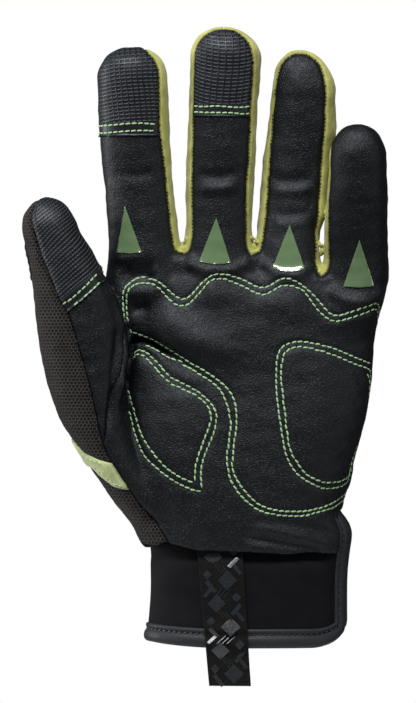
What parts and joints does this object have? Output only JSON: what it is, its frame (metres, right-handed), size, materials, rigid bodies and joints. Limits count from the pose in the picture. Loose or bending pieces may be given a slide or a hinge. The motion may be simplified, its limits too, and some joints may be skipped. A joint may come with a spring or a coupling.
{
  "type": "safety glove",
  "caption": "Left work glove filled out as on a hand: padded leather palm, mesh back, green side strips, textured fingertip caps, neoprene cuff with a pull tab.",
  "frame": {"origin": "centre of the wrist opening, at the cuff's lower rim", "axes": "+Z from the cuff to the fingertips, -Y out of the palm, -X towards the thumb"},
  "size_m": [0.1526, 0.054, 0.2716],
  "materials": {
    "palm_leather": "fine-grained matt black synthetic leather",
    "textured_leather": "black leather embossed with rows of small raised squares",
    "back_mesh": "dark brown-black spacer mesh with small round holes",
    "side_strip": "smooth yellow-green stretch fabric",
    "gloss_triangle": "glossy green transfer",
    "back_band": "matt pale green strip with a row of stitches at each edge",
    "rubber": "satin moulded black rubber",
    "neoprene": "black jersey-faced neoprene",
    "binding": "dark grey folded binding, stitched through",
    "webbing": "black woven tape with a glossy printed pattern"
  },
  "bodies": {
    "root": {"palm_leather": "palm_leather", "thumb_leather": "palm_leather", "back_mesh": "back_mesh", "side_strip_index_middle": "side_strip", "side_strip_middle_ring": "side_strip", "side_strip_ring_little": "side_strip", "index_cap": "textured_leather", "middle_cap": "textured_leather", "thumb_cap": "textured_leather", "triangle_index": "gloss_triangle", "triangle_middle": "gloss_triangle", "triangle_ring": "gloss_triangle", "triangle_little": "gloss_triangle", "back_band": "back_band", "thumb_guard": "rubber", "cuff": "neoprene", "cuff_binding": "binding", "pull_tab": "webbing", "closing_strap": "rubber"}
  },
  "joints": []
}
